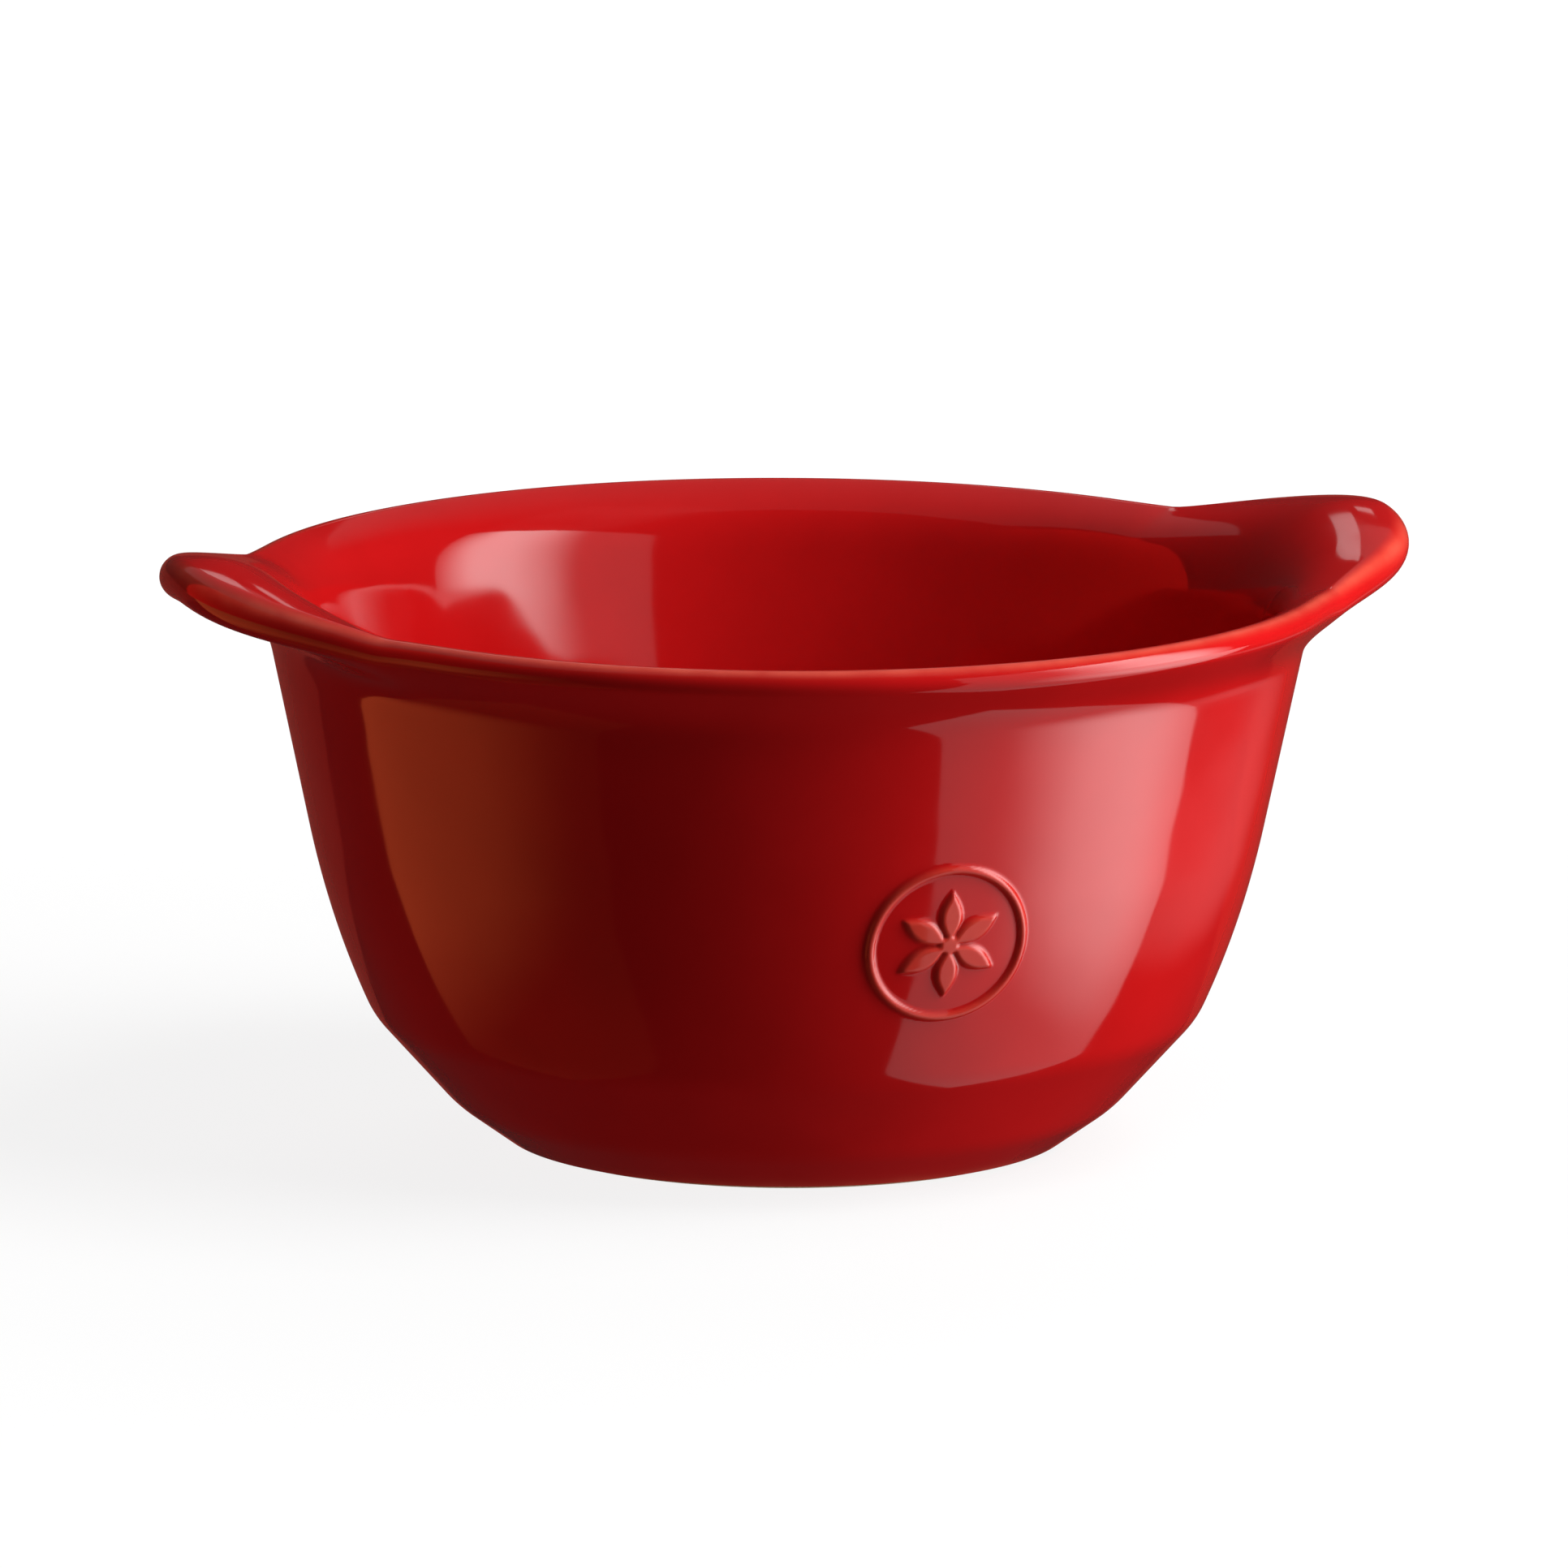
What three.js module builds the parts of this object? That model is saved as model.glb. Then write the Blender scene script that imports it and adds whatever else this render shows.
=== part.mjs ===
// Gratin bowl: a deep round stoneware bowl whose rolled rim is drawn out into two ears.
// Millimetres, +Z up. The origin is the middle of the foot on the table, and the ears lie along X.
// The bowl's section is drawn over the glaze, as points of (radius, height), from the middle of the
// underside round the outside and the rim to the middle of the floor. Only the rim changes with the angle.

import * as THREE from 'three';

// Rim between the ears
const RIM_RADIUS = 71;
const RIM_HEIGHT = 73.5;
const RIM_OVERHANG = 4.85; // how far the rim stands out from the neck under it
const RIM_DROP = 9.6; // from the top of the rim down to the neck
const RIM_UNDER_LEAN = 50; // degrees above level at which the rim's underside comes to its edge
const RIM_OVER_LEAN = 20; // the same for its top
const RIM_EDGE = 1.9; // rounding of the rim's edge

// Ears
const EAR_REACH = 11.15; // how far an ear stands out beyond the rim
const EAR_LIFT = 5.5; // how far an ear rises above the rim
const EAR_LEAN = -6.5; // degrees above level at which both sides of an ear come to its edge
const EAR_EDGE = 2.9; // rounding of an ear's edge
const EAR_REACH_ARC = 37.7; // degrees to each side of its middle over which an ear stands out
const EAR_REACH_BLUNTNESS = 2.5; // how flat the ear's end is
const EAR_REACH_FADE = 4.5; // how gently its sides run out into the rim
const EAR_LIFT_ARC = 26.7; // the same three for the rise of an ear
const EAR_LIFT_BLUNTNESS = 1.5;
const EAR_LIFT_FADE = 1.25;

// How hard the directions of the wall and of the edge pull on the curves between them, first for the
// curve under the rim from the neck to the edge, then for the one over it from the edge to the wall
const RIM_PULLS = [0.37, 0.39, 0.46, 0.44];
const EAR_PULLS = [0.41, 0.43, 0.41, 0.39];

// Wall, from the neck down
const WALL = 5;
const WALL_SLOPE = 11.9; // degrees from upright
const STRAIGHT_WALL = 22.6; // height of the straight part under the neck
const BELLY_TUCK = 12.8; // how far the wall draws in from the neck to the knuckle
const CHAMFER_RUN = 10.15; // from the knuckle in to the lower bend
const CHAMFER_RISE = 11.3;
const SKIRT_RUN = 7.8; // from the lower bend in to the foot
const SKIRT_RISE = 5.6;
const BEND_SOFTENING = 1.8; // length over which the knuckle and the lower bend are eased

// Base
const BASE_THICKNESS = 6.5;
const FLOOR_ROUNDING = 15.6; // how far the curve from the wall reaches over the floor
const FOOT_WIDTH = 4.5;
const RECESS_DEPTH = 2.5;
const RECESS_DRAFT = 1.2; // how far the side of the recess leans in

// Glaze
const GLAZE_THICKNESS = 0.5;
const GLAZE_GAP = 0.15; // clearance between the glaze and the clay
const GLAZE_LINE = 0.4; // height above the table at which the glaze stops

// Steps of the mesh
const COLUMNS = 56;
const COLUMN_CROWDING = 0.35; // how much closer the columns stand at the ears
const BEND_STEPS = 2;
const BELLY_STEPS = 4;
const FLOOR_STEPS = 5;
const LIP_SIDE_STEPS = 4;
const LIP_TIP_STEPS = 6;

const { degToRad, lerp } = THREE.MathUtils;
const skin = GLAZE_THICKNESS + GLAZE_GAP;

function at(radius, height) {
  return new THREE.Vector2(radius, height);
}

// The point a given distance from one point along a direction
function along(start, direction, distance) {
  return start.clone().addScaledVector(direction, distance);
}

// Where a line through a point, in a given direction, reaches a given height
function lineAtHeight(start, direction, height) {
  return along(start, direction, (height - start.y) / direction.y);
}

// The direction that rises at a given angle from level
function rising(angle) {
  return at(Math.cos(angle), Math.sin(angle));
}

function directionTo(start, end) {
  return end.clone().sub(start).normalize();
}

// Points along a chain of curves that join end to end, each given with its number of steps
function trace(...chain) {
  const points = [chain[0][0].getPoint(0)];
  for (const [curve, steps] of chain) {
    points.push(...curve.getPoints(steps).slice(1));
  }
  return points;
}

// A corner eased by a short curve
function eased(before, corner, after) {
  return new THREE.QuadraticBezierCurve(
    along(corner, directionTo(corner, before), BEND_SOFTENING),
    corner,
    along(corner, directionTo(corner, after), BEND_SOFTENING),
  );
}

// The same line moved into the material, which lies to the left of its direction of travel
function inset(points, depth) {
  const directions = points.slice(1).map((end, i) => directionTo(points[i], end));
  return points.map((corner, i) => {
    const before = directions[Math.max(i - 1, 0)];
    const after = directions[Math.min(i, directions.length - 1)];
    const middle = before.clone().add(after).normalize();
    return along(corner, at(-middle.y, middle.x), depth / middle.dot(after));
  });
}

// Outside, from the foot up to the neck
const wallDirection = at(Math.sin(degToRad(WALL_SLOPE)), Math.cos(degToRad(WALL_SLOPE)));
const neck = at(RIM_RADIUS - RIM_OVERHANG, RIM_HEIGHT - RIM_DROP);
const wallFoot = lineAtHeight(neck, wallDirection, neck.y - STRAIGHT_WALL);
const knuckle = at(neck.x - BELLY_TUCK, SKIRT_RISE + CHAMFER_RISE);
const lowerBend = at(knuckle.x - CHAMFER_RUN, SKIRT_RISE);
const bellyPull = lineAtHeight(neck, wallDirection, (knuckle.y + wallFoot.y) / 2);
const skirtDirection = at(SKIRT_RUN, SKIRT_RISE).normalize();

const easedBend = eased(lineAtHeight(lowerBend, skirtDirection, 0), lowerBend, knuckle);
const easedKnuckle = eased(lowerBend, knuckle, bellyPull);
const belly = new THREE.QuadraticBezierCurve(easedKnuckle.v2, bellyPull, wallFoot);
const straightWall = new THREE.LineCurve(wallFoot, neck);

function outsideFrom(height) {
  const start = lineAtHeight(lowerBend, skirtDirection, height);
  return trace(
    [new THREE.LineCurve(start, easedBend.v0), 1],
    [easedBend, BEND_STEPS],
    [new THREE.LineCurve(easedBend.v2, easedKnuckle.v0), 1],
    [easedKnuckle, BEND_STEPS],
    [belly, BELLY_STEPS],
    [straightWall, 1],
  );
}

// Inside, one wall in from the outside down to the knuckle, then round to the middle of the floor
const floorHeight = RECESS_DEPTH + BASE_THICKNESS;
const innerWall = inset(trace([belly, BELLY_STEPS], [straightWall, 1]), WALL).reverse();
const innerKnuckle = innerWall.at(-1);
const floorPull = lineAtHeight(innerKnuckle, directionTo(knuckle, bellyPull), floorHeight);
const floorEdge = at(floorPull.x - FLOOR_ROUNDING, floorHeight);
const inside = [
  ...innerWall,
  ...trace(
    [new THREE.QuadraticBezierCurve(innerKnuckle, floorPull, floorEdge), FLOOR_STEPS],
    [new THREE.LineCurve(floorEdge, at(0, floorHeight)), 1],
  ).slice(1),
];

// Share of an ear's full size at an angle: one in the middle of either ear, none outside its arc
function earShare(angle, arc, bluntness, fade) {
  const fromEar = Math.abs(Math.atan(Math.tan(angle)));
  return (1 - Math.min(fromEar / degToRad(arc), 1) ** bluntness) ** fade;
}

// Rim or ear at an angle: under it from the neck, round its edge, and over it to the inner wall
function lip(angle) {
  const reach = earShare(angle, EAR_REACH_ARC, EAR_REACH_BLUNTNESS, EAR_REACH_FADE);
  const lift = earShare(angle, EAR_LIFT_ARC, EAR_LIFT_BLUNTNESS, EAR_LIFT_FADE);
  const underLean = degToRad(lerp(RIM_UNDER_LEAN, EAR_LEAN, reach));
  const overLean = degToRad(lerp(RIM_OVER_LEAN, EAR_LEAN, reach));
  const edge = lerp(RIM_EDGE, EAR_EDGE, reach);
  const [neckPull, underPull, overPull, innerPull] = RIM_PULLS.map((pull, i) =>
    lerp(pull, EAR_PULLS[i], reach));
  const quarterTurn = Math.PI / 2;
  const centre = at(RIM_RADIUS + EAR_REACH * reach - edge, RIM_HEIGHT + EAR_LIFT * lift - edge);
  const underEdge = along(centre, rising(underLean - quarterTurn), edge);
  const overEdge = along(centre, rising(overLean + quarterTurn), edge);
  const innerNeck = innerWall[0];
  const underLength = neck.distanceTo(underEdge);
  const overLength = innerNeck.distanceTo(overEdge);
  return trace(
    [new THREE.CubicBezierCurve(
      neck,
      along(neck, wallDirection, neckPull * underLength),
      along(underEdge, rising(underLean), -underPull * underLength),
      underEdge,
    ), LIP_SIDE_STEPS],
    [new THREE.EllipseCurve(
      centre.x, centre.y, edge, edge, underLean - quarterTurn, overLean + quarterTurn,
    ), LIP_TIP_STEPS],
    [new THREE.CubicBezierCurve(
      overEdge,
      along(overEdge, rising(overLean), -overPull * overLength),
      along(innerNeck, wallDirection, innerPull * overLength),
      innerNeck,
    ), LIP_SIDE_STEPS],
  );
}

// Underside, from the middle of the recess out to the foot ring. It is drawn down to one skin
// below the table, so that the bare foot of the clay, one skin in, stands on the table.
const footEdge = lineAtHeight(lowerBend, skirtDirection, -skin);
const recessFoot = at(footEdge.x - FOOT_WIDTH, -skin);
const recessCorner = at(recessFoot.x - RECESS_DRAFT, RECESS_DEPTH);
const recessCeiling = at(0, RECESS_DEPTH);

function coatLine(angle) {
  return [...outsideFrom(GLAZE_LINE), ...lip(angle).slice(1), ...inside.slice(1)];
}

function claySection(angle) {
  const round = [...outsideFrom(-skin), ...lip(angle).slice(1), ...inside.slice(1)];
  return inset([recessCeiling, recessCorner, recessFoot, ...round], skin);
}

// The coat goes down its back from the middle of the floor, and comes up its face to the same place
function coatSection(angle) {
  const face = coatLine(angle);
  return [...inset(face, GLAZE_THICKNESS).reverse(), ...face];
}

function baseGlazeSection() {
  const recessSide = directionTo(recessCorner, recessFoot);
  const face = [recessCeiling, recessCorner, lineAtHeight(recessCorner, recessSide, GLAZE_LINE)];
  return [...face, ...inset(face, GLAZE_THICKNESS).reverse()];
}

// Columns stand closer together at the ears
function columnAngle(column) {
  const evenAngle = (2 * Math.PI * column) / COLUMNS;
  return evenAngle - (COLUMN_CROWDING / 2) * Math.sin(2 * evenAngle);
}

// A closed skin through the sections at every column. Sections start and end on the axis.
// Quads are split alike on both sides of an ear. Rows up to backRows run the other way round,
// and are split along the other diagonal, so that the back of a coat lies along what it covers.
function loft(sectionAt, backRows = 0) {
  const positions = [];
  const triangles = [];
  const rows = sectionAt(0).length;
  const lastRow = rows - 1;
  for (let column = 0; column < COLUMNS; column += 1) {
    const angle = columnAngle(column);
    for (const { x: radius, y: height } of sectionAt(angle)) {
      positions.push(radius * Math.cos(angle), radius * Math.sin(angle), height);
    }
  }
  for (let column = 0; column < COLUMNS; column += 1) {
    const here = column * rows;
    const next = ((column + 1) % COLUMNS) * rows;
    const leavingEar = Math.sin(2 * columnAngle(column + 0.5)) > 0;
    // the first column's ends, on the axis, serve every column
    triangles.push(0, next + 1, here + 1);
    for (let row = 1; row < lastRow - 1; row += 1) {
      const corners = [here + row, next + row, next + row + 1, here + row + 1];
      if (leavingEar === row < backRows) {
        corners.push(corners.shift());
      }
      const [a, b, c, d] = corners;
      triangles.push(a, b, c, a, c, d);
    }
    triangles.push(here + lastRow - 1, next + lastRow - 1, lastRow);
  }
  const geometry = new THREE.BufferGeometry();
  geometry.setAttribute('position', new THREE.Float32BufferAttribute(positions, 3));
  geometry.setIndex(triangles);
  geometry.computeVertexNormals();
  return geometry;
}

const clay = new THREE.MeshStandardMaterial({ color: '#d8bfa0', roughness: 0.85, metalness: 0 });
const redGlaze = new THREE.MeshStandardMaterial({ color: '#a80d12', roughness: 0.1, metalness: 0 });

function piece(name, geometry, material) {
  const mesh = new THREE.Mesh(geometry, material);
  mesh.name = name;
  return mesh;
}

const bowl = new THREE.Group();
bowl.add(
  piece('clay_body', loft(claySection), clay),
  piece('glaze_coat', loft(coatSection, coatLine(0).length), redGlaze),
  piece('base_glaze', loft(baseGlazeSection), redGlaze),
);

export default bowl;
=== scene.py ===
"""Gratin bowl: the fine glazed surface over the CAD frame, with camera and studio light.

Shapes are written in millimetres, as points of (radius, height) over the glaze, and become metres
when a mesh is made. Ears lie along X, the relief on the wall faces -Y.
"""

import math

import bpy
import numpy as np
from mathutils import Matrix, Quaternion, Vector


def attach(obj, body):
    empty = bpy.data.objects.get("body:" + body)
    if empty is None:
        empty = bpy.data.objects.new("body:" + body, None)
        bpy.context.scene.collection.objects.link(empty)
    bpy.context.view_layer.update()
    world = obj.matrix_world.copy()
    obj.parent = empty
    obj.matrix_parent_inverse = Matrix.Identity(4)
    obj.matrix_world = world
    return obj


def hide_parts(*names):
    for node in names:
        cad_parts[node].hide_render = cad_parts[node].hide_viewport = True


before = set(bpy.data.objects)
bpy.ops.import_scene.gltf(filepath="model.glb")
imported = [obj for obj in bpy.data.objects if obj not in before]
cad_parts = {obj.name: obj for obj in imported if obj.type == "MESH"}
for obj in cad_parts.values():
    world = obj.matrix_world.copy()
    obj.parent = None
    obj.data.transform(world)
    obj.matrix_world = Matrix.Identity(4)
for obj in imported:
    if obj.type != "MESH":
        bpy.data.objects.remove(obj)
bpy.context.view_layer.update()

MM = 0.001

# Bowl, the same sizes as the CAD part
RIM_RADIUS = 71.0
RIM_HEIGHT = 73.5
RIM_OVERHANG = 4.85
RIM_DROP = 9.6
RIM_UNDER_LEAN, RIM_OVER_LEAN = 50.0, 20.0
RIM_EDGE, EAR_EDGE = 1.9, 2.9
EAR_REACH = 11.15
EAR_LIFT = 5.5
EAR_LEAN = -6.5
EAR_REACH_ARC, EAR_REACH_BLUNTNESS, EAR_REACH_FADE = 37.7, 2.5, 4.5
EAR_LIFT_ARC, EAR_LIFT_BLUNTNESS, EAR_LIFT_FADE = 26.7, 1.5, 1.25
RIM_PULLS = np.array((0.37, 0.39, 0.46, 0.44))
EAR_PULLS = np.array((0.41, 0.43, 0.41, 0.39))
WALL = 5.0
WALL_SLOPE = 11.9
STRAIGHT_WALL = 22.6
BELLY_TUCK = 12.8
CHAMFER_RUN, CHAMFER_RISE = 10.15, 11.3
SKIRT_RUN, SKIRT_RISE = 7.8, 5.6
BEND_SOFTENING = 1.8
BASE_THICKNESS = 6.5
FLOOR_ROUNDING = 15.6
FOOT_WIDTH = 4.5
RECESS_DEPTH = 2.5
RECESS_DRAFT = 1.2
GLAZE_THICKNESS = 0.5
GLAZE_GAP = 0.15
GLAZE_LINE = 0.4
SKIN = GLAZE_THICKNESS + GLAZE_GAP

FOOT_EASING = 0.6  # rounding of the bare foot and of the recess

# Relief on the wall: a plain ring round a rosette of six petals
RELIEF_ANGLE = -87.6  # degrees round from +X
RELIEF_HEIGHT = 36.3  # height of its middle above the table
RELIEF_RISE = 0.55
RING_RADIUS = 10.2
RING_HALF_WIDTH = 0.75
RING_SHARPNESS = 1.4  # above one, the ring has a flat top
PETALS = 6
PETAL_LENGTH = 7.6
PETAL_HALF_WIDTH = 1.75
PETAL_EDGE = 0.75
BUTTON_RADIUS = 1.3
BUTTON_EASE = 0.5  # share of its soft edge that lies outside the radius
RELIEF_MARGIN = 12.0  # half the width of the finely meshed patch round it

# Glaze where it has run thin, and a painted highlight on the upper outer turn of the lip's edge
FOOT_THINNING = 1.0  # mm from the lower edge
# The band round the lip's edge is thin glaze and also a painted highlight, placed where the edge faces
# the light
EDGE_THIN_HIGHLIGHT_TURN = 0.72  # share of the way round the edge, from under it to over it
EDGE_THIN_HIGHLIGHT_WIDTH = 0.15
EDGE_THIN_HIGHLIGHT_SHARE = 0.75
RELIEF_THIN_SHARE = 0.45

# Steps of the meshes, in mm along the section
GLAZE_EDGE_STEP = 0.08
LOWER_STEP = 0.4  # from the glaze's lower edge up to the relief
FINE_STEP = 0.25  # in the relief's patch, both ways
UPPER_STEP = 1.0  # from the relief up to the neck
COLUMN_STEP = 1.0  # degrees between columns outside the patch
LIP_STEPS = {"side_steps": 18, "tip_steps": 28}
HIDDEN_LIP_STEPS = {"side_steps": 6, "tip_steps": 10}
FINE_SHARE = 0.9985  # keeps the fine mesh inside the box of the CAD's coarser one


def at(radius, height):
    return np.array((radius, height), float)


def unit(vector):
    return vector / np.linalg.norm(vector)


def rising(angle):
    """The direction that rises at an angle from level."""
    return at(math.cos(angle), math.sin(angle))


def line_at_height(start, direction, height):
    """Where a line through a point reaches a height."""
    return start + direction * ((height - start[1]) / direction[1])


def curve(points, steps):
    """Points along the Bezier curve with the given control points."""
    t = np.linspace(0.0, 1.0, steps + 1)[:, None]
    degree = len(points) - 1
    return sum(
        math.comb(degree, i) * (1 - t) ** (degree - i) * t**i * np.asarray(p)
        for i, p in enumerate(points)
    )


def chain(*lines):
    """Lines that join end to end, as one line without doubled points."""
    return np.vstack([lines[0]] + [line[1:] for line in lines[1:]])


def length_along(line):
    """Length of a line up to each of its points."""
    return np.concatenate([[0.0], np.cumsum(np.linalg.norm(np.diff(line, axis=0), axis=1))])


def inset(line, depth):
    """The same line moved into the material, on the left of its direction of travel."""
    steps = np.diff(line, axis=0)
    steps /= np.linalg.norm(steps, axis=1)[:, None]
    before = np.vstack([steps[:1], steps])
    after = np.vstack([steps, steps[-1:]])
    middle = before + after
    middle /= np.linalg.norm(middle, axis=1)[:, None]
    reach = depth / np.sum(middle * after, axis=1)
    return line + np.stack([-middle[:, 1], middle[:, 0]], axis=1) * reach[:, None]


def eased(before, corner, after, reach=BEND_SOFTENING):
    """Control points of the short curve that eases a corner."""
    return [
        corner + unit(before - corner) * reach,
        corner,
        corner + unit(after - corner) * reach,
    ]


# Main points of the section
slope = math.radians(WALL_SLOPE)
wall_direction = at(math.sin(slope), math.cos(slope))
neck = at(RIM_RADIUS - RIM_OVERHANG, RIM_HEIGHT - RIM_DROP)
wall_foot = line_at_height(neck, wall_direction, neck[1] - STRAIGHT_WALL)
knuckle = at(neck[0] - BELLY_TUCK, SKIRT_RISE + CHAMFER_RISE)
lower_bend = at(knuckle[0] - CHAMFER_RUN, SKIRT_RISE)
belly_pull = line_at_height(neck, wall_direction, (knuckle[1] + wall_foot[1]) / 2)
skirt_direction = unit(at(SKIRT_RUN, SKIRT_RISE))
inner_neck = neck + at(-wall_direction[1], wall_direction[0]) * WALL
floor_height = RECESS_DEPTH + BASE_THICKNESS
foot_edge = line_at_height(lower_bend, skirt_direction, -SKIN)
recess_foot = at(foot_edge[0] - FOOT_WIDTH, -SKIN)
recess_corner = at(recess_foot[0] - RECESS_DRAFT, RECESS_DEPTH)
recess_middle = at(0.0, RECESS_DEPTH)


def outside(start_height, bend_steps, belly_steps, wall_steps):
    """The outside from a height on the skirt up to the neck."""
    start = line_at_height(lower_bend, skirt_direction, start_height)
    bend = eased(start, lower_bend, knuckle)
    turn = eased(lower_bend, knuckle, belly_pull)
    return chain(
        curve([start, bend[0]], bend_steps),
        curve(bend, bend_steps),
        curve([bend[2], turn[0]], bend_steps),
        curve(turn, bend_steps),
        curve([turn[2], belly_pull, wall_foot], belly_steps),
        curve([wall_foot, neck], wall_steps),
    )


def inside(belly_steps, floor_steps):
    """The inside from the neck down to the middle of the floor."""
    belly_start = knuckle + unit(belly_pull - knuckle) * BEND_SOFTENING
    outer = chain(
        curve([belly_start, belly_pull, wall_foot], belly_steps),
        curve([wall_foot, neck], belly_steps),
    )
    wall = inset(outer, WALL)[::-1]
    floor_pull = line_at_height(wall[-1], unit(belly_pull - knuckle), floor_height)
    floor_edge = at(floor_pull[0] - FLOOR_ROUNDING, floor_height)
    return chain(
        wall,
        curve([wall[-1], floor_pull, floor_edge], floor_steps),
        curve([floor_edge, at(0.0, floor_height)], floor_steps),
    )


def ear_share(angle, arc, bluntness, fade):
    """Share of an ear's full size: one in the middle of either ear, none outside its arc."""
    from_ear = abs(math.atan(math.tan(angle)))
    return (1 - min(from_ear / math.radians(arc), 1.0) ** bluntness) ** fade


def lip(angle, side_steps, tip_steps):
    """The rim or ear at an angle, from the neck under it, round its edge, to the inner wall."""
    reach = ear_share(angle, EAR_REACH_ARC, EAR_REACH_BLUNTNESS, EAR_REACH_FADE)
    lift = ear_share(angle, EAR_LIFT_ARC, EAR_LIFT_BLUNTNESS, EAR_LIFT_FADE)
    under_lean = math.radians(RIM_UNDER_LEAN + (EAR_LEAN - RIM_UNDER_LEAN) * reach)
    over_lean = math.radians(RIM_OVER_LEAN + (EAR_LEAN - RIM_OVER_LEAN) * reach)
    edge = RIM_EDGE + (EAR_EDGE - RIM_EDGE) * reach
    neck_pull, under_pull, over_pull, inner_pull = RIM_PULLS + (EAR_PULLS - RIM_PULLS) * reach
    centre = at(RIM_RADIUS + EAR_REACH * reach - edge, RIM_HEIGHT + EAR_LIFT * lift - edge)
    turn = np.linspace(under_lean - math.pi / 2, over_lean + math.pi / 2, tip_steps + 1)
    tip = centre + edge * np.stack([np.cos(turn), np.sin(turn)], axis=1)
    under, over = tip[0], tip[-1]
    under_length = np.linalg.norm(under - neck)
    over_length = np.linalg.norm(over - inner_neck)
    return chain(
        curve(
            [neck, neck + wall_direction * neck_pull * under_length,
             under - rising(under_lean) * under_pull * under_length, under],
            side_steps,
        ),
        tip,
        curve(
            [over, over - rising(over_lean) * over_pull * over_length,
             inner_neck + wall_direction * inner_pull * over_length, inner_neck],
            side_steps,
        ),
    )


def edge_thinness_and_highlight(side_steps, tip_steps):
    """How thin the glaze has run at the points of a lip: the band round its edge is thin glaze and a
    painted highlight.
    """
    off = (np.linspace(0.0, 1.0, tip_steps + 1) - EDGE_THIN_HIGHLIGHT_TURN) / EDGE_THIN_HIGHLIGHT_WIDTH
    side = np.zeros(side_steps)
    return np.concatenate([side, EDGE_THIN_HIGHLIGHT_SHARE * np.exp(-(off**2)), side])


def stations(line, *zones):
    """The line's points at the given steps along it. A zone is the height it ends at, and its step."""
    length = length_along(line)
    marks = [0.0]
    for height, step in zones:
        end = np.interp(height, line[:, 1], length)
        marks.extend(np.linspace(marks[-1], end, max(2, round((end - marks[-1]) / step) + 1))[1:])
    return np.stack([np.interp(marks, length, line[:, k]) for k in (0, 1)], axis=1)


def outward_normals(line):
    """Directions out of the material at each point of a line."""
    steps = np.gradient(line, axis=0)
    steps /= np.linalg.norm(steps, axis=1)[:, None]
    return np.stack([steps[:, 1], -steps[:, 0]], axis=1)


def smooth(value):
    """A soft step from 0 to 1."""
    t = np.clip(value, 0.0, 1.0)
    return t * t * (3 - 2 * t)


def relief(across, up):
    """Share of the relief's full rise at a place on the wall, in mm from its middle."""
    distance = np.hypot(across, up)
    rise = smooth(RING_SHARPNESS * (1 - np.abs(distance - RING_RADIUS) / RING_HALF_WIDTH))
    rise = np.maximum(rise, smooth((BUTTON_RADIUS - distance) / PETAL_EDGE + BUTTON_EASE))
    for petal in range(PETALS):
        turn = 2 * math.pi * petal / PETALS + math.pi / 2
        along = across * math.cos(turn) + up * math.sin(turn)
        aside = up * math.cos(turn) - across * math.sin(turn)
        share = np.clip(along / PETAL_LENGTH, 0.0, 1.0)
        half_width = PETAL_HALF_WIDTH * np.sin(math.pi * share)
        rise = np.maximum(rise, smooth((half_width - np.abs(aside)) / PETAL_EDGE))
    return rise


# Outside of the glaze, closely spaced at its lower edge, the bends and the relief
fine_outside = stations(
    outside(GLAZE_LINE, bend_steps=60, belly_steps=600, wall_steps=300),
    (GLAZE_LINE + GLAZE_THICKNESS, GLAZE_EDGE_STEP),
    (RELIEF_HEIGHT - RELIEF_MARGIN, LOWER_STEP),
    (RELIEF_HEIGHT + RELIEF_MARGIN, FINE_STEP),
    (neck[1], UPPER_STEP),
)
outside_length = length_along(fine_outside)
outside_normals = outward_normals(fine_outside)
relief_radius = np.interp(RELIEF_HEIGHT, fine_outside[:, 1], fine_outside[:, 0])
relief_station = np.interp(RELIEF_HEIGHT, fine_outside[:, 1], outside_length)
fine_inside = inside(belly_steps=24, floor_steps=28)
coarse_outside = outside(GLAZE_LINE, bend_steps=2, belly_steps=6, wall_steps=2)
coarse_inside = inside(belly_steps=6, floor_steps=8)

# The glaze draws back to nothing along its lower edge
edge_share = np.clip(outside_length / GLAZE_THICKNESS, 0.0, 1.0)
edge_depth = GLAZE_THICKNESS * (1 - np.sqrt(1 - (1 - edge_share) ** 2))


def coat_angles():
    """Angles of the coat's columns, close together at the relief."""
    middle = math.radians(RELIEF_ANGLE)
    half = RELIEF_MARGIN / relief_radius
    fine = np.linspace(middle - half, middle + half, round(2 * RELIEF_MARGIN / FINE_STEP) + 1)
    rest = 2 * math.pi - 2 * half
    coarse = np.linspace(0.0, rest, round(rest / math.radians(COLUMN_STEP)) + 1)[1:-1]
    return np.concatenate([fine, fine[-1] + coarse])


def full_circle():
    """Angles of evenly spaced columns."""
    return np.arange(0.0, 2 * math.pi, math.radians(COLUMN_STEP))


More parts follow.
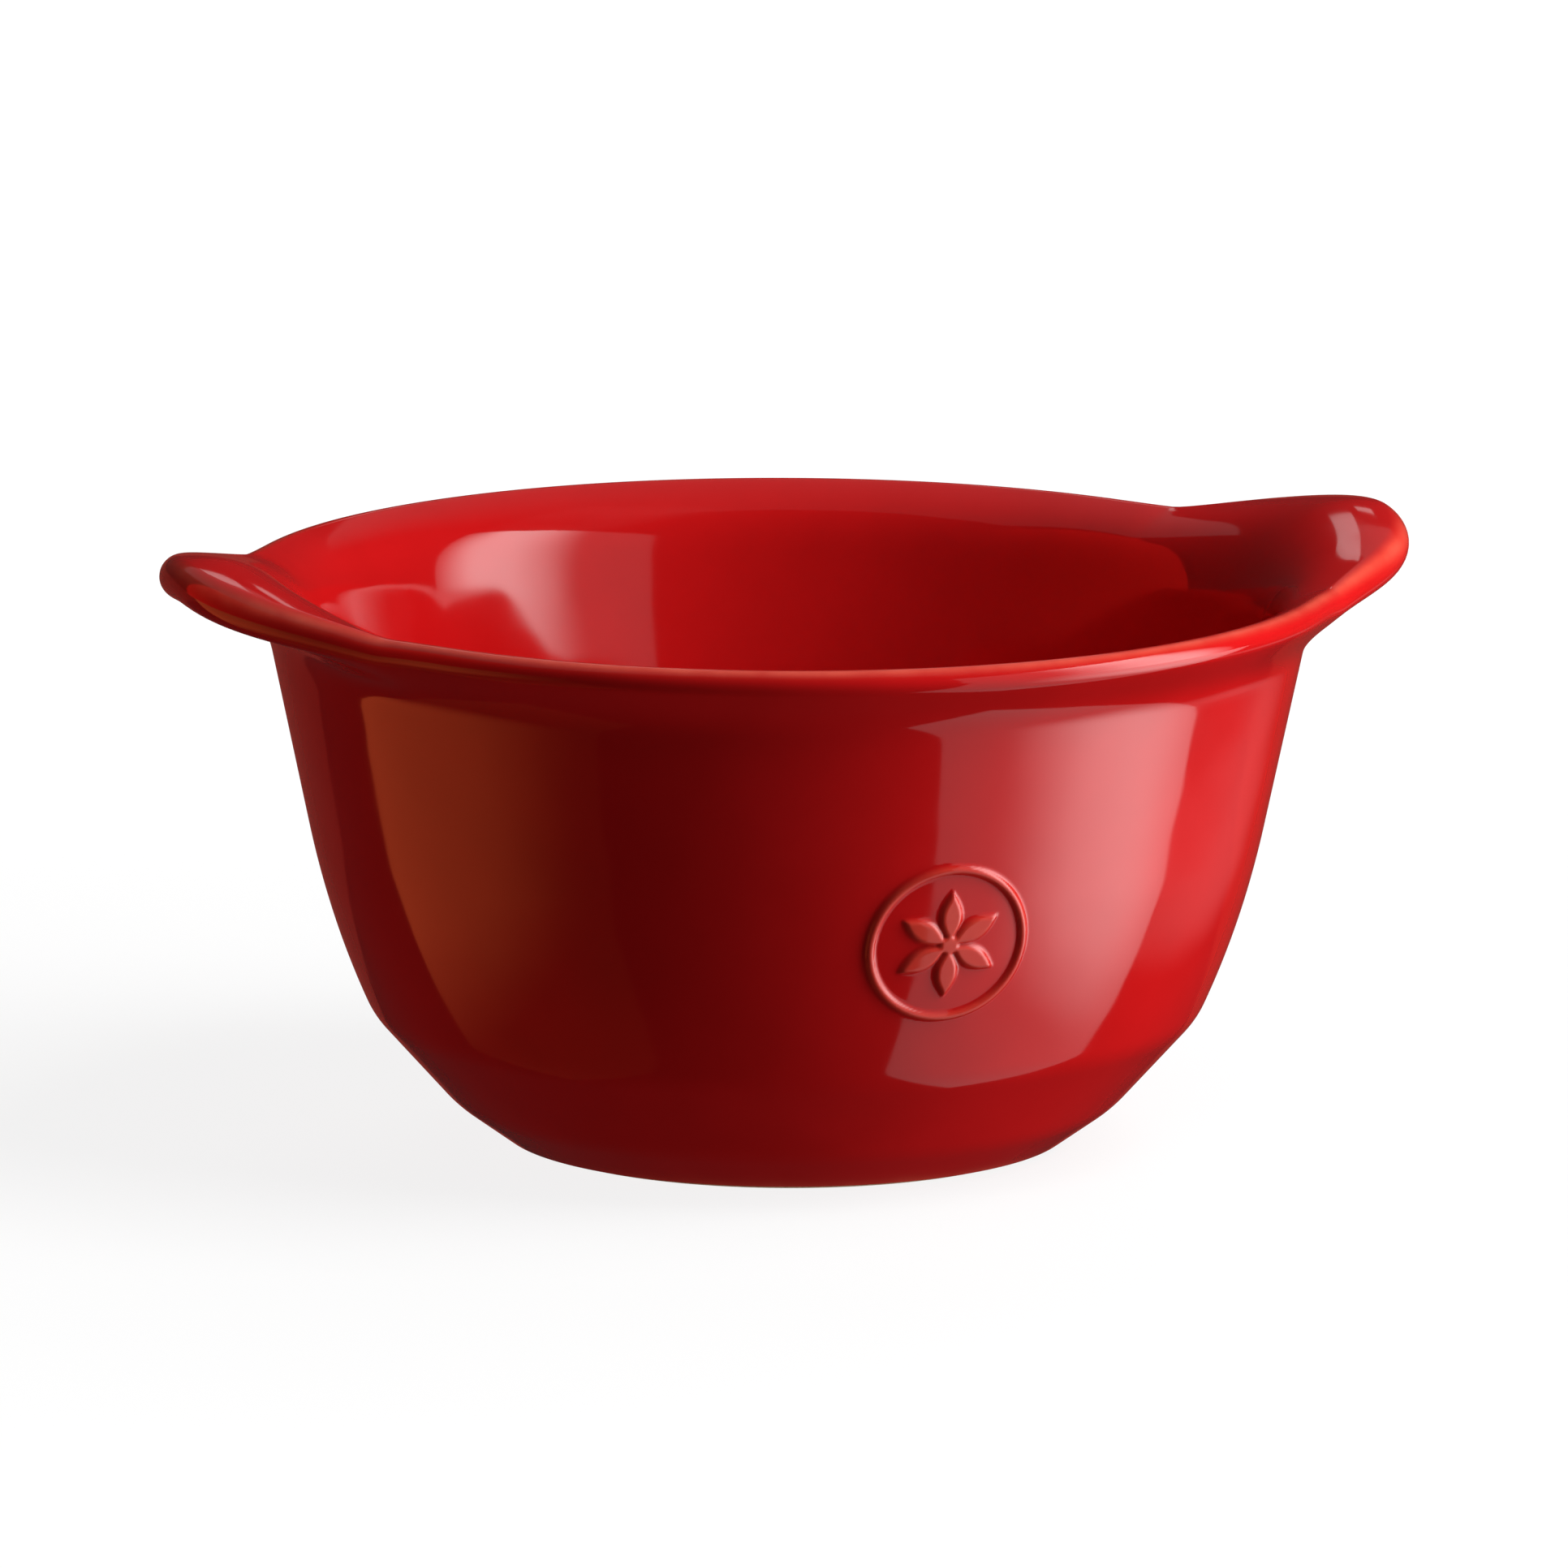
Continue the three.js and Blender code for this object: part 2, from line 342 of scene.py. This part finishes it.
def coat_section(angle):
    """The coat's section at an angle, and how thin the glaze has run at each of its points, the lip's
    edge also carrying a painted highlight.
    """
    turned = math.remainder(angle - math.radians(RELIEF_ANGLE), 2 * math.pi)
    rise = relief(fine_outside[:, 0] * turned, outside_length - relief_station)
    wall = fine_outside + outside_normals * (RELIEF_RISE * rise - edge_depth)[:, None]
    face = chain(wall, lip(angle, **LIP_STEPS), fine_inside)
    under = chain(coarse_outside, lip(angle, **HIDDEN_LIP_STEPS), coarse_inside)
    back = inset(under, GLAZE_THICKNESS)[::-1]
    wall_thin = np.maximum(RELIEF_THIN_SHARE * rise, np.exp(-outside_length / FOOT_THINNING))
    # The lip's edge band: thin glaze, and a painted highlight
    edge_thin_and_lit = edge_thinness_and_highlight(**LIP_STEPS)
    thin_glaze_and_highlight = np.concatenate(
        [np.zeros(len(back)), wall_thin[1:], edge_thin_and_lit[1:], np.zeros(len(fine_inside) - 1)]
    )
    return chain(back, face), thin_glaze_and_highlight


def clay_section(angle):
    """The clay under the glaze, with the edges of its bare foot rounded."""
    inner_edge = eased(recess_corner, recess_foot, foot_edge, FOOT_EASING)
    outer_edge = eased(recess_foot, foot_edge, lower_bend, FOOT_EASING)
    line = chain(
        curve([recess_middle, recess_corner], 6),
        curve([recess_corner, inner_edge[0]], 2),
        curve(inner_edge, 5),
        curve([inner_edge[2], outer_edge[0]], 2),
        curve(outer_edge, 5),
        outside(outer_edge[2][1], bend_steps=3, belly_steps=6, wall_steps=2),
        lip(angle, **HIDDEN_LIP_STEPS),
        coarse_inside,
    )
    return inset(line, SKIN), np.zeros(len(line))


def base_glaze_section(angle):
    """The glaze in the recess under the base, the same at every angle."""
    corner = eased(recess_middle, recess_corner, recess_foot, FOOT_EASING)
    end = line_at_height(recess_corner, unit(recess_foot - recess_corner), GLAZE_LINE)
    face = chain(
        curve([recess_middle, corner[0]], 8),
        curve(corner, 6),
        curve([corner[2], end], 2),
    )
    line = np.vstack([face, inset(face, GLAZE_THICKNESS)[::-1]])
    return line, np.zeros(len(line))


def smooth_mesh(name, vertices, faces):
    """A mesh with smooth shading."""
    mesh = bpy.data.meshes.new(name)
    mesh.from_pydata(vertices, [], faces)
    mesh.polygons.foreach_set("use_smooth", np.ones(len(faces), bool))
    mesh.update()
    return mesh


def add_object(name, data):
    """Puts a mesh, a lamp or a camera into the scene."""
    thing = bpy.data.objects.new(name, data)
    bpy.context.scene.collection.objects.link(thing)
    return thing


def loft(name, section_at, angles):
    """A closed mesh through the sections at the angles. Sections start and end on the axis."""
    drawn = [section_at(angle) for angle in angles]
    points = np.array([line for line, _ in drawn])
    thin_glaze_and_highlight = np.array([share for _, share in drawn])
    columns, rows = points.shape[:2]
    turn = np.asarray(angles)[:, None]
    radius, height = points[:, :, 0], points[:, :, 1]
    grid = np.stack([radius * np.cos(turn), radius * np.sin(turn), height], axis=2) * MM * FINE_SHARE
    inner = grid[:, 1:-1].reshape(-1, 3)
    vertices = np.vstack([inner, grid[0, :1], grid[0, -1:]])
    first_pole, last_pole = len(inner), len(inner) + 1
    here = np.arange(columns)[:, None] * (rows - 2) + np.arange(rows - 2)[None, :]
    beside = np.roll(here, -1, axis=0)
    quads = np.stack([here[:, :-1], beside[:, :-1], beside[:, 1:], here[:, 1:]], axis=2)
    faces = quads.reshape(-1, 4).tolist()
    for column in range(columns):
        faces.append((first_pole, beside[column, 0], here[column, 0]))
        faces.append((here[column, -1], beside[column, -1], last_pole))
    mesh = smooth_mesh(name, vertices.tolist(), faces)
    # Shares of thin glaze, painted highlight on the lip's edge included, kept for each point
    shares = np.concatenate([thin_glaze_and_highlight[:, 1:-1].ravel(), thin_glaze_and_highlight[0, :1], thin_glaze_and_highlight[0, -1:]])
    mesh.attributes.new("thin_glaze_and_highlight", "FLOAT", "POINT").data.foreach_set("value", shares.astype(np.float32))
    return add_object(name, mesh)


# Finishes
# The thin red is the orange of thin glaze, also used for the painted highlight on the lip's edge
DEEP_RED, BRIGHT_RED, THIN_AND_HIGHLIGHT_RED = "#be1213", "#c71416", "#e65c48"
GLAZE_ROUGHNESS = (0.05, 0.09)
GLAZE_IOR = 1.5
THIN_AND_HIGHLIGHT_PATCHES = (0.55, 1.0)  # how far the thin colour shows, from place to place
LIGHT_CLAY, DARK_CLAY, CLAY_SPECK = "#dcc3a2", "#cdb08c", "#a98866"
CLAY_ROUGHNESS = (0.75, 0.95)
SPECK_RANGE = (0.45, 0.75)  # noise values over which the specks come in
NOISE_RANGE = (0.3, 0.7)  # where most values of a noise lie


class Nodes:
    """Short calls for building the node tree of a material or a lamp."""

    def __init__(self, owner):
        owner.use_nodes = True
        self.tree = owner.node_tree

    def add(self, kind, **values):
        node = self.tree.nodes.new(kind)
        for key, value in values.items():
            if key in node.inputs:
                node.inputs[key].default_value = value
            else:
                setattr(node, key, value)
        return node

    def link(self, output, target):
        self.tree.links.new(output, target)

    def noise(self, size_mm, detail=2.0):
        """Noise with features of about a given size."""
        place = self.add("ShaderNodeTexCoord")
        node = self.add("ShaderNodeTexNoise", Scale=1 / (size_mm * MM), Detail=detail)
        self.link(place.outputs["Object"], node.inputs["Vector"])
        return node.outputs["Fac"]

    def ramp(self, value, start, end, kind="LINEAR"):
        """A value carried from one range to another, held at its ends."""
        node = self.add("ShaderNodeMapRange", interpolation_type=kind)
        for socket, number in zip(node.inputs[1:5], (*start, *end)):
            socket.default_value = number
        self.link(value, node.inputs["Value"])
        return node.outputs["Result"]

    def combine(self, operation, first, second):
        """Two values put together by a product or the like."""
        node = self.add("ShaderNodeMath", operation=operation)
        self.link(first, node.inputs[0])
        self.link(second, node.inputs[1])
        return node.outputs[0]

    def mix(self, share, first, second):
        """Two colours, or sockets, mixed by a share."""
        node = self.add("ShaderNodeMix", data_type="RGBA")
        self.link(share, node.inputs["Factor"])
        sockets = [i for i in node.inputs if i.type == "RGBA"]
        for socket, paint in zip(sockets, (first, second)):
            if isinstance(paint, bpy.types.NodeSocket):
                self.link(paint, socket)
            else:
                socket.default_value = (*colour(paint), 1.0)
        return next(o for o in node.outputs if o.type == "RGBA")

    def uneven(self, shader, noise, strength, depth_mm):
        """Lets a noise make a shader's surface uneven."""
        bump = self.add("ShaderNodeBump", Strength=strength, Distance=depth_mm * MM)
        self.link(noise, bump.inputs["Height"])
        self.link(bump.outputs["Normal"], shader.inputs["Normal"])


def colour(hex_code):
    """A screen colour as the linear values that a shader takes."""
    parts = [int(hex_code[i:i + 2], 16) / 255 for i in (1, 3, 5)]
    return tuple(c / 12.92 if c <= 0.04045 else ((c + 0.055) / 1.055) ** 2.4 for c in parts)


def new_finish(name):
    """A new material, the calls that build it, and its shader."""
    material = bpy.data.materials.new(name)
    n = Nodes(material)
    return material, n, n.tree.nodes["Principled BSDF"]


def red_glaze():
    """Glossy red glaze, a little uneven, more orange where it has run thin, and along the lip's edge as a
    painted highlight.
    """
    material, n, shader = new_finish("red_glaze")
    mottle = n.ramp(n.noise(size_mm=18.0, detail=3.0), NOISE_RANGE, (0.0, 1.0))
    red = n.mix(mottle, DEEP_RED, BRIGHT_RED)
    # Thin glaze at the foot and relief, and the painted highlight on the lip's edge, come in as one
    # attribute
    thin_glaze_and_highlight = n.add("ShaderNodeAttribute", attribute_name="thin_glaze_and_highlight")
    patchiness = n.ramp(n.noise(size_mm=5.0, detail=3.0), NOISE_RANGE, THIN_AND_HIGHLIGHT_PATCHES)
    thin_and_highlight_share = n.combine("MULTIPLY", thin_glaze_and_highlight.outputs["Fac"], patchiness)
    n.link(n.mix(thin_and_highlight_share, red, THIN_AND_HIGHLIGHT_RED), shader.inputs["Base Color"])
    dulling = n.ramp(n.noise(size_mm=9.0, detail=4.0), NOISE_RANGE, GLAZE_ROUGHNESS)
    n.link(dulling, shader.inputs["Roughness"])
    shader.inputs["IOR"].default_value = GLAZE_IOR
    n.uneven(shader, n.noise(size_mm=14.0, detail=1.0), strength=0.35, depth_mm=0.4)
    return material


def bare_clay():
    """Fired stoneware, matt and finely speckled."""
    material, n, shader = new_finish("bare_clay")
    specks = n.ramp(n.noise(size_mm=0.6, detail=4.0), SPECK_RANGE, (0.0, 1.0))
    body = n.mix(n.noise(size_mm=7.0, detail=3.0), LIGHT_CLAY, DARK_CLAY)
    n.link(n.mix(specks, body, CLAY_SPECK), shader.inputs["Base Color"])
    n.link(n.ramp(n.noise(size_mm=2.0), NOISE_RANGE, CLAY_ROUGHNESS), shader.inputs["Roughness"])
    n.uneven(shader, n.noise(size_mm=0.5, detail=4.0), strength=0.5, depth_mm=0.1)
    return material


def dress(piece, material, node):
    """Gives a piece its finish, hangs it on the root body, and hides the CAD node it stands in for."""
    piece.data.materials.append(material)
    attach(piece, "root")
    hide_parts(node)


glaze = red_glaze()
clay = bare_clay()
dress(loft("red_glaze_coat", coat_section, coat_angles()), glaze, "glaze_coat")
dress(loft("stoneware_body", clay_section, full_circle()), clay, "clay_body")
dress(loft("recess_glaze", base_glaze_section, full_circle()), glaze, "base_glaze")

# Camera: long lens, a little above the rim, turned so that the left ear comes nearer
CAMERA_AZIMUTH = 17.4
CAMERA_ELEVATION = 11.05
CAMERA_DISTANCE = 2.5
CAMERA_ROLL = 0.25
CAMERA_SHIFT = (-0.0016, 0.0279)
CAMERA_DEPTH = 20.0
IMAGE_PIXELS = 1932
PIXELS_PER_MM = 9.6
SENSOR_MM = 36.0
target = Vector((0.0, 0.0, 0.040))
azimuth = math.radians(CAMERA_AZIMUTH)
elevation = math.radians(CAMERA_ELEVATION)
to_right = Vector((math.cos(azimuth), -math.sin(azimuth), 0.0))
to_back = Vector((math.sin(azimuth), math.cos(azimuth), 0.0))
to_top = Vector((0.0, 0.0, 1.0))


def seen(right, back, up):
    """A place by metres to the right, to the back and up, as the camera sees the bowl."""
    return to_right * right + to_back * back + to_top * up


def add_camera():
    data = bpy.data.cameras.new("camera")
    data.sensor_width = SENSOR_MM
    data.lens = PIXELS_PER_MM * CAMERA_DISTANCE / MM * SENSOR_MM / IMAGE_PIXELS
    data.shift_x, data.shift_y = CAMERA_SHIFT
    data.clip_end = CAMERA_DEPTH
    camera = add_object("camera", data)
    offset = seen(0.0, -math.cos(elevation), math.sin(elevation)) * CAMERA_DISTANCE
    camera.location = target + offset
    roll = Quaternion((0.0, 0.0, 1.0), math.radians(CAMERA_ROLL))
    camera.rotation_mode = "QUATERNION"
    camera.rotation_quaternion = (-offset).to_track_quat("-Z", "Y") @ roll
    bpy.context.scene.camera = camera


# Floor: level round the bowl, rising far off into an upright backdrop, in metres
FLOOR_RADIUS = 4.0
COVE_RADIUS = 1.0
BACKDROP_TOP = 4.0
FLOOR_COLUMNS = 96
FLOOR_GREY = (0.14, 0.14, 0.14, 1.0)
FLOOR_ROUGHNESS = 0.9
GLOW_DISTANCE = (0.1, 0.6)  # from the bowl's middle, where the floor's own white starts and stops rising
GLOW_LEVEL = (0.86, 1.0)


def floor_finish():
    """White to the eye, a little less so near the bowl, where lamps and shadow show."""
    material, n, shader = new_finish("studio_floor")
    shader.inputs["Base Color"].default_value = FLOOR_GREY
    shader.inputs["Roughness"].default_value = FLOOR_ROUGHNESS
    shader.inputs["Specular IOR Level"].default_value = 0.0
    shader.inputs["Emission Color"].default_value = (1.0, 1.0, 1.0, 1.0)
    path = n.add("ShaderNodeLightPath")
    shows = path.outputs["Is Camera Ray"]
    for ray in ("Is Glossy Ray", "Is Transmission Ray"):
        shows = n.combine("MAXIMUM", shows, path.outputs[ray])
    place = n.add("ShaderNodeTexCoord")
    distance = n.add("ShaderNodeVectorMath", operation="LENGTH")
    n.link(place.outputs["Object"], distance.inputs[0])
    glow = n.ramp(distance.outputs["Value"], GLOW_DISTANCE, GLOW_LEVEL)
    n.link(n.combine("MULTIPLY", shows, glow), shader.inputs["Emission Strength"])
    return material


def add_floor():
    """The floor with the bowl's shadow on it. Only the camera sees it, so low panels light the bowl."""
    level_end = at(FLOOR_RADIUS, 0.0)
    corner = at(FLOOR_RADIUS + COVE_RADIUS, 0.0)
    upright_start = at(FLOOR_RADIUS + COVE_RADIUS, COVE_RADIUS)
    profile = chain(
        curve([at(0.0, 0.0), level_end], 8),
        curve([level_end, corner, upright_start], 12),
        curve([upright_start, at(FLOOR_RADIUS + COVE_RADIUS, BACKDROP_TOP)], 2),
    )
    turns = np.linspace(0.0, 2 * math.pi, FLOOR_COLUMNS, endpoint=False)
    vertices = [(r * math.cos(t), r * math.sin(t), z) for t in turns for r, z in profile[1:]]
    rows = len(profile) - 1
    middle = len(vertices)
    faces = []
    for column in range(FLOOR_COLUMNS):
        here = column * rows
        beside = (column + 1) % FLOOR_COLUMNS * rows
        faces.append((middle, here, beside))
        faces.extend((here + k, here + k + 1, beside + k + 1, beside + k) for k in range(rows - 1))
    mesh = smooth_mesh("studio_floor", vertices + [(0.0, 0.0, 0.0)], faces)
    mesh.materials.append(floor_finish())
    floor = add_object("studio_floor", mesh)
    floor.visible_diffuse = False
    floor.visible_glossy = False
    floor.visible_shadow = False


# Colours of the light
WHITE = (1.0, 1.0, 1.0)
WARM = (1.0, 0.18, 0.05)
RED = (1.0, 0.01, 0.005)
DUSKY = (1.0, 0.1, 0.06)
WORLD_GREY = (0.02, 0.02, 0.02, 1.0)


def fade_light(lamp_data, fades, dim):
    """Lets a lamp's light fade over its face: the fades multiplied, from dim up to full."""
    n = Nodes(lamp_data)
    place = n.add("ShaderNodeNewGeometry").outputs["Position"]
    shares = []
    for direction, least, full in fades:
        measure = n.add("ShaderNodeVectorMath", operation="DOT_PRODUCT")
        measure.inputs[1].default_value = direction
        n.link(place, measure.inputs[0])
        shares.append(n.ramp(measure.outputs["Value"], (least, full), (0.0, 1.0), "SMOOTHSTEP"))
    share = shares[0]
    for other in shares[1:]:
        share = n.combine("MULTIPLY", share, other)
    n.link(n.ramp(share, (0.0, 1.0), (dim, 1.0)), n.tree.nodes["Emission"].inputs["Strength"])


def add_panel(name, place, aim, width, height, level, tint=WHITE, fades=(), dim=0.0):
    """A soft box with its middle at a place, turned towards a point. A level of 1 shows as white.

    A fade is a direction, and the two places along it where the light is least and full. Dim is the
    share of the level that is left where it is least.
    """
    data = bpy.data.lights.new(name, "AREA")
    data.shape = "RECTANGLE"
    data.size, data.size_y = width, height
    data.energy = level * math.pi * width * height
    data.color = tint
    if fades:
        fade_light(data, fades, dim)
    lamp = add_object(name, data)
    lamp.location = place
    lamp.rotation_mode = "QUATERNION"
    lamp.rotation_quaternion = (aim - place).to_track_quat("-Z", "Y")
    return lamp


def add_side_panel(name, side, near, far, bottom, top, **light):
    """An upright panel beside the bowl: side is its place to the right, near and far its ends."""
    middle = seen(side, (near + far) / 2, (bottom + top) / 2)
    aim = seen(0.0, (near + far) / 2, (bottom + top) / 2)
    return add_panel(name, middle, aim, far - near, top - bottom, **light)


# Studio, in metres: a soft box on the right, brightest beside the bowl, with a dim strip behind it, a
# dim warm panel on the left, fills, and a box overhead. Side panels come in two parts, over and under
# the level of the table. The bowl's wall leans out and mirrors the lower ones.
SIDE = 0.6
bowl_foot = Vector((0.0, 0.0, 0.0))

add_camera()
add_floor()
add_side_panel(
    "right_panel", SIDE, near=-0.85, far=0.1, bottom=0.0, top=0.6, level=6.0,
    fades=[(to_back, -0.46, -0.12), (to_back, 0.12, -0.06)], dim=0.1,
)
add_side_panel(
    "right_panel_low", SIDE, near=-0.8, far=0.165, bottom=-1.45, top=0.0, level=4.0,
    fades=[(to_back, -0.52, -0.12), (to_back, 0.3, -0.06), (to_top, -0.54, -0.2)], dim=0.16,
)
left_panel = add_side_panel(
    "left_panel", -SIDE, near=-0.6, far=0.32, bottom=0.0, top=0.7, level=1.8, tint=RED,
    fades=[(to_back, -0.6, 0.15)], dim=0.1,
)
add_side_panel(
    "left_panel_low", -SIDE, near=-0.6, far=0.24, bottom=-1.1, top=0.0, level=1.4, tint=WARM,
    fades=[(to_back, -0.6, -0.05), (to_top, -0.5, -0.24)], dim=0.1,
)
right_strip = add_side_panel(
    "right_strip", SIDE, near=0.17, far=1.3, bottom=-0.36, top=-0.18, level=0.33,
    fades=[(to_top, -0.36, -0.27), (to_top, -0.18, -0.24), (to_back, 1.2, 0.2)],
)
left_fill = add_side_panel("left_fill", -SIDE, near=-0.6, far=0.24, bottom=-1.1, top=-0.3, level=0.5)
back_fill = add_panel(
    "back_fill", seen(0.2, 1.2, 0.6), seen(0.0, 0.0, 0.05), width=0.8, height=0.8, level=2.5,
)
back_left = add_panel("back_left", seen(-0.16, 1.75, 1.06), bowl_foot, width=0.24, height=0.16, level=0.8)
back_right = add_panel("back_right", seen(0.1, 1.75, 0.85), bowl_foot, width=0.12, height=0.1, level=0.8)
ceiling = add_panel(
    "ceiling", seen(0.0, 0.8, 1.6), seen(0.0, 0.5, 0.0), width=3.0, height=3.0, level=0.16,
    fades=[(to_right, 1.5, 0.2)],
)
sweep = add_panel(
    "sweep", seen(0.0, 1.7, -0.02), seen(0.0, 1.6, 1.0), width=4.0, height=2.6, level=0.18, tint=DUSKY,
)
top_box = add_panel("top_box", seen(0.65, -0.2, 1.05), bowl_foot, width=0.8, height=0.8, level=6.2)

# Some lamps are only mirrored in the glaze, others only light it
for mirrored in (left_panel, right_strip, back_left, back_right, ceiling, sweep):
    mirrored.visible_diffuse = False
for lighting in (left_fill, back_fill, top_box):
    lighting.visible_glossy = False

world = bpy.data.worlds.new("studio")
world.use_nodes = True
world.node_tree.nodes["Background"].inputs["Color"].default_value = WORLD_GREY
bpy.context.scene.world = world
bpy.context.scene.view_settings.view_transform = "Standard"
